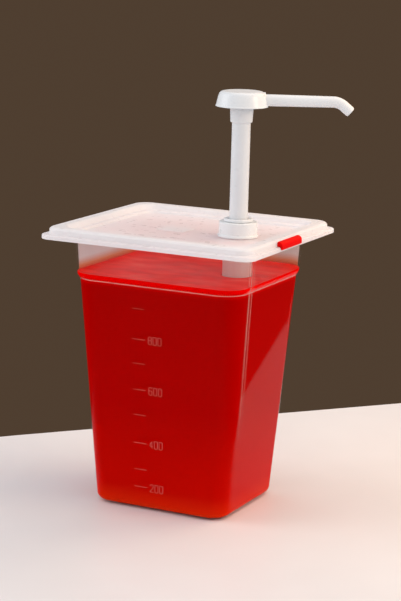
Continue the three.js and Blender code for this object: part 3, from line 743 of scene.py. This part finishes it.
over = inset_rows(
    [(1.6, 7.4, 208.4), (0, 9, 208.4), (0, 9, 211.2), (0.5, 9, 211.7), (3.2, 12, 211.7), (3.4, 12, 215.4),
     (5.0, 10.4, 217.0), (12.1, 14.2, 217.0), (15.3, 12.4, 213.2), (18.4, 10.8, 212.9), (19.6, 10.0, 211.2),
     (21.5, 8.5, 211.2)],
    [0, 0.5, 0.4, 0.4, 0.6, 0.3, 1.5, 1.0, 0.7, 0.7, 0.5, 0])
under = inset_rows(
    [(24.0, 10.0, 209.4), (20.4, 12.8, 209.4), (20.4, 12.8, 206.0), (18.7, 14.5, 206.0),
     (18.7, 14.5, 209.9), (15.4, 12, 209.9), (12.6, 12, 215.2), (5.0, 10.2, 215.2), (5.0, 10.2, 209.9),
     (1.6, 7.4, 209.9), (1.6, 7.4, 208.4)],
    [0, 0.8, 0.5, 0.5, 0.6, 0.8, 1.0, 1.0, 0.5, 0.4, 0])[:-1]
over_grid = outline_grid(*over.T, side_shares=LID_SIDE)
under_grid = outline_grid(*under.T, side_shares=LID_SIDE)

# %% Neck with its screw thread
panel_edge = over_grid[-1, :, :2]
steps = np.linspace(213.0 * MM, NECK_TOP - 0.5 * MM, 26)
angle = np.arctan2(panel_edge[:, 1], panel_edge[:, 0] - PUMP_X)[None, :]
turns = (steps[:, None] - THREAD_START) / THREAD_PITCH - angle / (2 * np.pi)
fade = np.clip((steps - steps[0]) / MM, 0, 1) * np.clip((steps[-1] - steps) / MM, 0, 1)
thread = NECK_RADIUS + THREAD_RISE * fade[:, None] * np.clip(np.cos(2 * np.pi * turns) * 1.6, 0, 1)
neck = np.concatenate([
    round_neck(panel_edge, np.array([[20], [16.8], [14.6], [13.4], [12.7]]) * MM,
               (PANEL_TOP + np.array([0, 0, 0, 0.2, 0.7])) * MM),
    round_neck(panel_edge, thread, steps),
    round_neck(panel_edge, np.array([[12.3], [11.95], [11.6], [11.45], [11.45], [11.7], [14], [22]]) * MM,
               np.array([217.25, 217.4, 217.4, 217.2, PANEL_UNDER + 0.4, *[PANEL_UNDER] * 3]) * MM),
])
lid = skin("lid_shell", np.concatenate([over_grid, neck, under_grid]), ring=True, finish=[lid_plastic])
ride(lid, "lid", "milky_polypropylene", "lid")

# %% Label pad on the panel
PAD_MIDDLE, PAD_HALF = np.array([-14.0, 2.0]) * MM, np.array([12.0, 9.5]) * MM
PAD_CORNER, PAD_RISE, PAD_EDGE = 1.5 * MM, 0.3 * MM, 0.1 * MM
panel = PANEL_TOP * MM
pad_rows = np.array([
    [0, 0, 0, panel - PAD_EDGE], [*PAD_HALF, PAD_CORNER, panel - PAD_EDGE],
    [*PAD_HALF, PAD_CORNER, panel + PAD_RISE - PAD_EDGE],
    [*(PAD_HALF - PAD_EDGE), PAD_CORNER - PAD_EDGE, panel + PAD_RISE], [0, 0, 0, panel + PAD_RISE],
])
pad = skin("label_pad", outline_grid(*pad_rows.T) + np.array([*PAD_MIDDLE, 0]), finish=[lid_plastic])
ride(pad, "lid", "milky_polypropylene")

# %% Seal under the lid
seal_rows = inset_rows([(7, 8.2, 209.9), (12, 12.0, 209.9), (12, 12.0, 214.9), (7, 8.2, 214.9)],
                       [1.6, 1.6, 0.8, 0.8], closed=True)
lid_seal = skin("lid_seal_ring", outline_grid(*seal_rows.T), ring=True, finish=[silicone])
ride(lid_seal, "lid", "silicone", "lid_seal")

# %% [markdown]
# ## Turned parts of the pump
# Nearly every part of the pump is round, so each is a half profile turned about the pump's axis. The
# profile's corners are softened first, as a mould's are, and a closed profile gives a hollow part.

# %% Turn a profile
AROUND = 96


def full_turn(count):
    """Equal angles once round."""
    return np.linspace(0, 2 * np.pi, count, endpoint=False)


def turned(points, radii, closed=True, count=AROUND):
    """Grid of a profile of (radius, height) in mm turned about the pump's axis: (r cos a, r sin a, z)."""
    radius, height = soften(np.array(points, float) * MM, np.array(radii, float) * MM, closed=closed).T
    angle = full_turn(count)[None, :]
    x = PUMP_X + radius[:, None] * np.cos(angle)
    y = radius[:, None] * np.sin(angle)
    return np.stack([x, y, np.broadcast_to(height[:, None], x.shape)], axis=-1)


def turned_part(name, node, body, slot, finish, points, radii):
    """A hollow turned part, which stands for one node of the frame."""
    ride(skin(name, turned(points, radii), ring=True, finish=[finish]), body, slot, node)


turned_part(
    "collar_nut_cap", "collar_nut", "lid", "white_polypropylene", white_plastic,
    [(13.25, 211.5), (15.5, 211.5), (15.5, 213.1), (14.6, 213.7), (14.6, 223), (9.6, 223), (9.6, 220.4),
     (13.25, 220.4)], [0.3, 0.4, 0.4, 0.5, 0.9, 0.3, 0.2, 0.4])

turned_part(
    "neck_gasket_ring", "neck_gasket", "lid", "silicone", silicone,
    [(11.45, 217.7), (12.9, 217.7), (12.9, 218.6), (11.45, 218.6)], 0.2)

turned_part(
    "stem_guide_bush", "stem_guide", "lid", "white_polypropylene", white_plastic,
    [(7.3, 209.5), (9.3, 209.5), (9.3, 223.3), (10.85, 223.3), (10.85, 225.4), (8.9, 225.4), (8.9, 223.7),
     (7.3, 223.7)], [0.3, 0.5, 0.1, 0.3, 0.7, 0.4, 0.3, 0.2])

turned_part(
    "stem_wiper_ring", "stem_wiper", "lid", "elastomer", elastomer,
    [(7.25, 224.6), (7.6, 224.0), (8.6, 224.0), (8.6, 225.2), (7.7, 225.2)], [0.15, 0.2, 0.2, 0.3, 0.2])

# %% Barrel, ball cage and dip tube
turned_part(
    "pump_barrel", "barrel", "lid", "natural_polypropylene", barrel_plastic,
    [(4.3, 82), (5.8, 82), (6.2, 95), (11.15, 101.4), (11.15, 218.9), (12.9, 218.9), (12.9, 220.1),
     (9.65, 220.1), (9.65, 104), (4.4, 103.6), (4.4, 98.3), (3, 98.3), (3, 95.5), (4.3, 95.5)],
    [0.3, 0.3, 1.5, 2.0, 0.2, 0.3, 0.3, 0.4, 0.8, 0.3, 0.3, 0.2, 0.2, 0.2])

cage_seat = turned([(4.7, 104.3), (9.3, 104.3), (9.3, 106), (6.4, 106), (4.7, 106)],
                   [0.3, 0.4, 0.4, 0.1, 0.2])
cage_roof = turned([(1.6, 108.8), (6.4, 108.6), (6.4, 110.2), (1.6, 110.2)], [0.3, 0.2, 0.4, 0.4])


def cage_posts(count=4, inner=4.8, outer=6.3, half_width=1.5, low=105.6, high=109.0):
    """Upright posts: small ellipses at equal angles on the cage's ring, closed at both ends."""
    lean = full_turn(12)
    grids = []
    for post in full_turn(count) + np.pi / 4:
        middle = (inner + outer) / 2
        swell = np.array([0, 1, 1, 1, 0])[:, None]
        along = middle + swell * (outer - inner) / 2 * np.cos(lean)
        across = swell * half_width * np.sin(lean)
        x = PUMP_X / MM + along * np.cos(post) - across * np.sin(post)
        y = along * np.sin(post) + across * np.cos(post)
        z = np.broadcast_to(np.array([low, low, (low + high) / 2, high, high])[:, None], x.shape)
        grids.append(np.stack([x, y, z], axis=-1) * MM)
    return grids


cage = skin("ball_cage_body", [cage_seat, cage_roof], ring=True, finish=[natural_plastic],
            extra=cage_posts())
ride(cage, "lid", "natural_polypropylene", "ball_cage")

TUBE_BORE, TUBE_RADIUS, TUBE_FOOT, TUBE_TOP, FOOT_SLANT = 2.7, 4.0, 8.0, 95.2, math.radians(35)
tube_grid = turned([(TUBE_BORE, TUBE_FOOT), (TUBE_RADIUS, TUBE_FOOT), (TUBE_RADIUS, TUBE_TOP),
                    (TUBE_BORE, TUBE_TOP)], 0.25)
foot_rows = tube_grid[..., 2] < (TUBE_FOOT + TUBE_TOP) / 2 * MM
lift = (tube_grid[..., 0] - PUMP_X + TUBE_RADIUS * MM) * math.tan(FOOT_SLANT)
tube_grid[..., 2] += np.where(foot_rows, lift, 0)
dip_tube = skin("dip_tube_cut", tube_grid, ring=True, finish=[natural_plastic])
ride(dip_tube, "lid", "natural_polypropylene", "dip_tube")

# %% [markdown]
# ## Valve balls and return spring
# Two bright steel balls are the pump's only valves. Between them a long wire spring pushes the plunger
# up. The wire is a small circle carried along a helix, with its turns closed up at both ends.

# %% Balls and spring
BALL_ROWS, BALL_AROUND, WIRE_AROUND = 33, 48, 10


def ball(name, body, node):
    """A sphere in its node's box: half a circle, from pole to pole, turned about its upright axis."""
    low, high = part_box(node)
    middle, radius = (low + high) / 2, (high.z - low.z) / 2
    lean = np.linspace(-np.pi / 2, np.pi / 2, BALL_ROWS)[:, None]
    angle = full_turn(BALL_AROUND)[None, :]
    grid = np.stack([
        middle.x + radius * np.cos(lean) * np.cos(angle),
        middle.y + radius * np.cos(lean) * np.sin(angle),
        np.broadcast_to(middle.z + radius * np.sin(lean), (BALL_ROWS, BALL_AROUND)),
    ], axis=-1)
    ride(skin(name, grid, finish=[steel]), body, "steel", node)


ball("inlet_valve_ball", "inlet_valve", "inlet_ball")
ball("outlet_valve_ball", "outlet_valve", "outlet_ball")


def carried(path, radius, across, count):
    """A circle of `radius` carried along `path`: path + r (cos a * across + sin a * tangent x across)."""
    tangent = np.gradient(path, axis=0)
    tangent /= np.maximum(np.linalg.norm(tangent, axis=1, keepdims=True), TINY)
    other = np.cross(tangent, across)
    other /= np.linalg.norm(other, axis=1, keepdims=True)
    angle = full_turn(count)[None, :, None]
    radius = np.asarray(radius)[:, None, None]
    return path[:, None] + radius * (np.cos(angle) * across[:, None] + np.sin(angle) * other[:, None])


SPRING_LOW, SPRING_HIGH = (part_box("return_spring")[k].z for k in (0, 1))
SPRING_RADIUS, WIRE, COILS = 8.0 * MM, 0.5 * MM, 9
CLOSED_END = 0.09                  # the share of the wire, at each end, that lies flat
turn = np.linspace(0, 1, COILS * 44)
climb = np.clip((turn - CLOSED_END) / (1 - 2 * CLOSED_END), 0, 1)
height = SPRING_LOW + WIRE + (SPRING_HIGH - SPRING_LOW - 2 * WIRE) * climb
angle = 2 * np.pi * COILS * turn
helix = np.column_stack([PUMP_X + SPRING_RADIUS * np.cos(angle), SPRING_RADIUS * np.sin(angle), height])
outward = np.column_stack([np.cos(angle), np.sin(angle), np.zeros(len(turn))])
thick = np.full(len(turn), WIRE)
thick[[0, -1]] = 0
spring = skin("return_spring_wire", carried(helix, thick, outward, WIRE_AROUND), finish=[steel])
ride(spring, "lid", "steel", "return_spring")
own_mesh(spring)

# %% Piston on its core
turned_part(
    "spring_follower_ring", "spring_follower", "plunger", "white_polypropylene", white_plastic,
    [(3.2, 184), (6.6, 184), (7, 185), (7, 189), (8.9, 189), (8.9, 191), (3.2, 191)],
    [0.2, 0.3, 0.4, 0.3, 0.4, 0.4, 0.2])

turned_part(
    "piston_cup_seal", "piston_seal", "plunger", "elastomer", elastomer,
    [(4.6, 194.8), (7.4, 194.8), (7.8, 196.4), (8.65, 194.9), (9.35, 195.1), (8.4, 198.4), (8.4, 201.6),
     (9.35, 204.9), (8.65, 205.1), (7.8, 203.6), (7.4, 205.1), (4.6, 205.1)],
    [0.2, 0.3, 0.4, 0.2, 0.2, 0.8, 0.8, 0.2, 0.2, 0.4, 0.3, 0.2])

turned_part(
    "piston_core_tube", "piston_core", "head", "white_polypropylene", white_plastic,
    [(2.6, 192), (6.4, 192), (6.4, 194.5), (4.3, 194.5), (4.3, 205.4), (6.6, 205.4), (6.6, 207.7),
     (5.2, 207.7), (5.2, 225), (4.6, 226), (2.6, 226)],
    [0.2, 0.4, 0.2, 0.2, 0.2, 0.2, 0.4, 0.2, 0.4, 0.3, 0.2])

# %% [markdown]
# ## Stem, head and spout
# The stem is a long tube with a wider socket at the top, in thin natural plastic that lets a little
# light in. The head is a shallow cap with a rolled lower rim, and the spout leaves its side level,
# tapers slightly and turns down at the tip.

# %% Stem
turned_part(
    "stem_tube_drawn", "stem_tube", "head", "natural_polypropylene", natural_plastic,
    [(5.5, 208), (7, 208), (7, 297.6), (8.3, 298.4), (8.8, 308.8), (6.8, 308.8), (6.8, 299.8), (3, 297.4),
     (3, 293), (5.5, 291)],
    [0.3, 0.5, 0.5, 0.5, 0.4, 0.4, 0.8, 0.5, 0.5, 0.5])

# %% Head and its boss
SPOUT_TURN = math.radians(25.9)
SPOUT_HEIGHT = 315.0 * MM
SPOUT_AROUND = 48
UPRIGHT = np.array([0.0, 0.0, 1.0])
ahead = np.array([math.cos(SPOUT_TURN), math.sin(SPOUT_TURN), 0.0])
beside = np.array([-math.sin(SPOUT_TURN), math.cos(SPOUT_TURN), 0.0])
axis = np.array([PUMP_X, 0.0, SPOUT_HEIGHT])
cap = turned(
    [(0, 319.7), (14.6, 319.7), (16.2, 318.3), (17.7, 310), (19.75, 310), (19.75, 310.7), (19.3, 311.3),
     (18.4, 315.6), (17.6, 318.6), (16.9, 320.2), (15.4, 321.2), (13.2, 321.5), (0, 321.5)],
    [0, 1.2, 1.2, 0.2, 0.3, 0.3, 0.3, 1.2, 1.2, 0.8, 0.8, 0.8, 0], closed=False, count=128)
hub = turned([(4.2, 303.2), (6.5, 303.2), (6.5, 319.9), (4.2, 319.9)], [0.3, 0.4, 0, 0])


def circles(centres, radius, upright):
    """Circles about points of the spout's line, each square to it, whose own upright leans with it."""
    angle = full_turn(SPOUT_AROUND)[None, :, None]
    across = np.cos(angle) * beside + np.sin(angle) * upright[:, None]
    return centres[:, None] + radius[:, None, None] * across


BOSS_OUT = np.array([3.0, 3.0, 10.0, 17.1, 17.6]) * MM
BOSS_OUTER, BOSS_BORE = np.array([[3.0, 5.9, 5.9, 5.9, 5.5], [2.6, 4.8, 4.8, 4.8, 4.8]]) * MM
boss_line = axis + np.concatenate([BOSS_OUT, BOSS_OUT[::-1]])[:, None] * ahead
boss = circles(boss_line, np.concatenate([BOSS_OUTER, BOSS_BORE[::-1]]), np.tile(UPRIGHT, (10, 1)))
head = skin("pump_head_cap", cap, finish=[white_plastic], rings=[hub, boss])
ride(head, "head", "white_polypropylene", "pump_head")

# %% Spout
STRAIGHT = (8.5, 68.0)
BEND, BEND_ANGLE, NOSE = 12.6, math.radians(40), 6.9
ROOT_RADIUS, TIP_RADIUS, SPOUT_BORE = 4.5 * MM, 4.1 * MM, 2.7 * MM
run = np.linspace(*STRAIGHT, 24)
bend = np.linspace(0, BEND_ANGLE, 16)[1:]
nose = np.linspace(0, NOSE, 7)[1:]
flat = np.concatenate([
    np.column_stack([run, np.zeros(len(run))]),
    np.column_stack([STRAIGHT[1] + BEND * np.sin(bend), -BEND * (1 - np.cos(bend))]),
    np.column_stack([STRAIGHT[1] + BEND * math.sin(BEND_ANGLE) + nose * math.cos(BEND_ANGLE),
                     -BEND * (1 - math.cos(BEND_ANGLE)) - nose * math.sin(BEND_ANGLE)]),
]) * MM
lean = np.concatenate([np.zeros(len(run)), bend, np.full(len(nose), BEND_ANGLE)])
centres = axis + flat[:, :1] * ahead + flat[:, 1:] * UPRIGHT
leaning = np.sin(lean)[:, None] * ahead + np.cos(lean)[:, None] * UPRIGHT
length = np.concatenate([[0], np.cumsum(np.linalg.norm(np.diff(centres, axis=0), axis=1))])
outer = np.interp(length, [0, length[-1]], [ROOT_RADIUS, TIP_RADIUS])
outer[-1] -= 0.35 * MM
outer[0] -= 0.3 * MM
tube = [circles(centres, radius, leaning) for radius in (outer, np.full(len(outer), SPOUT_BORE))]
spout = skin("spout_tube", np.concatenate([tube[0], tube[1][::-1]]), ring=True, finish=[white_plastic])
ride(spout, "head", "white_polypropylene", "spout")
print("spout reaches", round(float(length[-1] / MM), 1), "mm along its line")

# %% [markdown]
# ## The colour clip
# A small red clip marks what is in the container. It stands on the flange's ledge against the tier and
# laps over the flange's edge, and two tongues under it push through the flange. Its section is one
# closed outline carried along the lid's side, drawn in at both ends.

# %% Clip
clip_low, clip_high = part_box("colour_clip")
CLIP_EDGE, CLIP_FOOT = 88.3 * MM, 212.0 * MM
CLIP_END, CLIP_BLEND = 3.0 * MM, 0.8 * MM
BOW_INSET, BOW_FOOT = 0.9 * MM, 0.4 * MM
TONGUE_X = 86.4 * MM
bow = np.linspace(0, np.pi / 2, 9)
bow_x = clip_low.x + BOW_INSET + (clip_high.x - clip_low.x - BOW_INSET) * np.cos(bow)
bow_z = CLIP_FOOT + BOW_FOOT + (clip_high.z - CLIP_FOOT - BOW_FOOT) * np.sin(bow)
section = np.vstack([
    soften([(clip_high.x - 2 * MM, clip_high.z), (clip_low.x, clip_high.z), (clip_low.x, CLIP_FOOT),
            (CLIP_EDGE, CLIP_FOOT), (CLIP_EDGE, clip_low.z), (clip_high.x, clip_low.z),
            (clip_high.x, CLIP_FOOT)],
           np.array([0, 0.8, 0.3, 0.1, 0.2, 0.5, 0]) * MM, closed=False)[1:-1],
    np.column_stack([bow_x, bow_z]),
])
ease = np.linspace(0, np.pi / 2, 8)
y = np.concatenate([clip_low.y + CLIP_BLEND * (1 - np.cos(ease)),
                    np.linspace(clip_low.y + 2 * MM, clip_high.y - CLIP_END, 8),
                    clip_high.y - CLIP_END + CLIP_END * np.sin(ease[1:])])
start_draw = CLIP_BLEND * (1 - np.sin(ease))
reach = np.concatenate([start_draw, np.zeros(8), CLIP_END * (1 - np.cos(ease[1:]))])
draw = np.concatenate([start_draw, np.zeros(8), CLIP_BLEND * (1 - np.cos(ease[1:]))])
middle_z = (clip_high.z + CLIP_FOOT) / 2
front_side = np.clip((section[:, 0] - clip_low.x) / (CLIP_EDGE - clip_low.x), 0, 1)
x = section[None, :, 0] - reach[:, None] * front_side
z = section[None, :, 1] + np.clip((middle_z - section[None, :, 1]) / MM, -1, 1) * draw[:, None]
clip_grid = np.stack([x, np.broadcast_to(y[:, None], x.shape), z], axis=-1)
first, last = clip_grid[0].mean(axis=0), clip_grid[-1].mean(axis=0)
columns = clip_grid.shape[1]
clip_grid = np.concatenate([np.tile(first, (1, columns, 1)), clip_grid, np.tile(last, (1, columns, 1))])


def tongue(middle_y, half_x=0.5 * MM, half_y=3.0 * MM, low=210.0 * MM, high=212.6 * MM):
    """A small upright bar: rounded rectangles, drawn in and closed at both ends."""
    rows = np.array([[0, 0, 0, low], [half_x * 0.7, half_y * 0.9, 0.2 * MM, low],
                     [half_x, half_y, 0.3 * MM, low + 0.3 * MM], [half_x, half_y, 0.3 * MM, high],
                     [0, 0, 0, high]])
    return outline_grid(*rows.T) + np.array([TONGUE_X, middle_y, 0])


clip = skin("colour_clip_bar", clip_grid, finish=[red_plastic], extra=[tongue(-20 * MM), tongue(1 * MM)])
ride(clip, "clip", "red_polypropylene", "colour_clip")

# %% [markdown]
# ## Scale on the front
# The level marks stand up from the wall by a fraction of a millimetre. Each is a flattened bead carried
# along a stroke, and the figures are strokes in a narrow upright hand. All of them lie on the tapered
# front, so a point's depth comes from its height.

# %% Marks and figures
TICK_HEIGHTS = np.array([160, 136.3, 117.3, 96.7, 76.7, 54.3, 33, 19])
TICK_SPAN = (-17.4, -6.3)
FIGURES = {136.3: "800", 96.7: "600", 54.3: "400", 19.0: "200"}
FIGURE_HEIGHT, FIGURE_WIDTH, FIGURE_STEP, FIGURE_START = 6.0, 2.7, 4.1, -3.6
STROKE, RELIEF, BEAD_CORNER = 0.19, 0.12, 1.1
STROKES = {
    "0": [[(0.5, 1), (0, 1), (0, 0), (1, 0), (1, 1), (0.5, 1)]],
    "2": [[(0, 0.78), (0, 1), (1, 1), (1, 0.62), (0, 0.12), (0, 0), (1, 0)]],
    "4": [[(0.75, 0), (0.75, 1), (0, 0.3), (1, 0.3)]],
    "6": [[(0.95, 0.85), (0.9, 1), (0, 1), (0, 0), (1, 0), (1, 0.56), (0, 0.56)]],
    "8": [[(0.5, 0.53), (0, 0.53), (0, 1), (1, 1), (1, 0.53), (0, 0.53), (0, 0), (1, 0), (1, 0.53),
           (0.5, 0.53)]],
}


def bead(line):
    """A flattened bead on the front wall: across it by cosine, out of it by sine, with closed ends."""
    line = np.asarray(line, float)
    close = 0.97 * line[[0, -1]] + 0.03 * line[[1, -2]]
    line = np.vstack([line[:1], close[:1], line[1:-1], close[1:], line[-1:]])
    tangent = np.gradient(line, axis=0)
    tangent /= np.linalg.norm(tangent, axis=1, keepdims=True)
    side = np.column_stack([-tangent[:, 1], tangent[:, 0]])
    angle = full_turn(10)
    width = np.full(len(line), STROKE)
    width[[0, -1]] = 0.0
    flat = line[:, None] + side[:, None] * (width[:, None] * np.cos(angle))[..., None]
    out = np.where(width[:, None] > 0, RELIEF * np.sin(angle), 0.0)
    wall_y = -(WALL_FOOT[1] / MM + WALL_DRAFT * flat[..., 1])
    return np.stack([flat[..., 0], wall_y - out, flat[..., 1]], axis=-1) * MM


beads = [bead(np.column_stack([np.linspace(*TICK_SPAN, 6), np.full(6, z)])) for z in TICK_HEIGHTS]
for level, text in FIGURES.items():
    for position, figure in enumerate(text):
        corner = np.array([FIGURE_START + position * FIGURE_STEP, level - FIGURE_HEIGHT / 2])
        for stroke in STROKES[figure]:
            line = corner + np.array(stroke) * np.array([FIGURE_WIDTH, FIGURE_HEIGHT])
            beads.append(bead(soften(line, BEAD_CORNER, closed=False)))
mark_plastic = milky("mark_relief", (0.88, 0.26, 0.20), 0.35, 0.3, 0.35)
marks = skin("scale_marks", beads[:1], finish=[mark_plastic], extra=beads[1:])
ride(marks, "container", "clear_polypropylene")
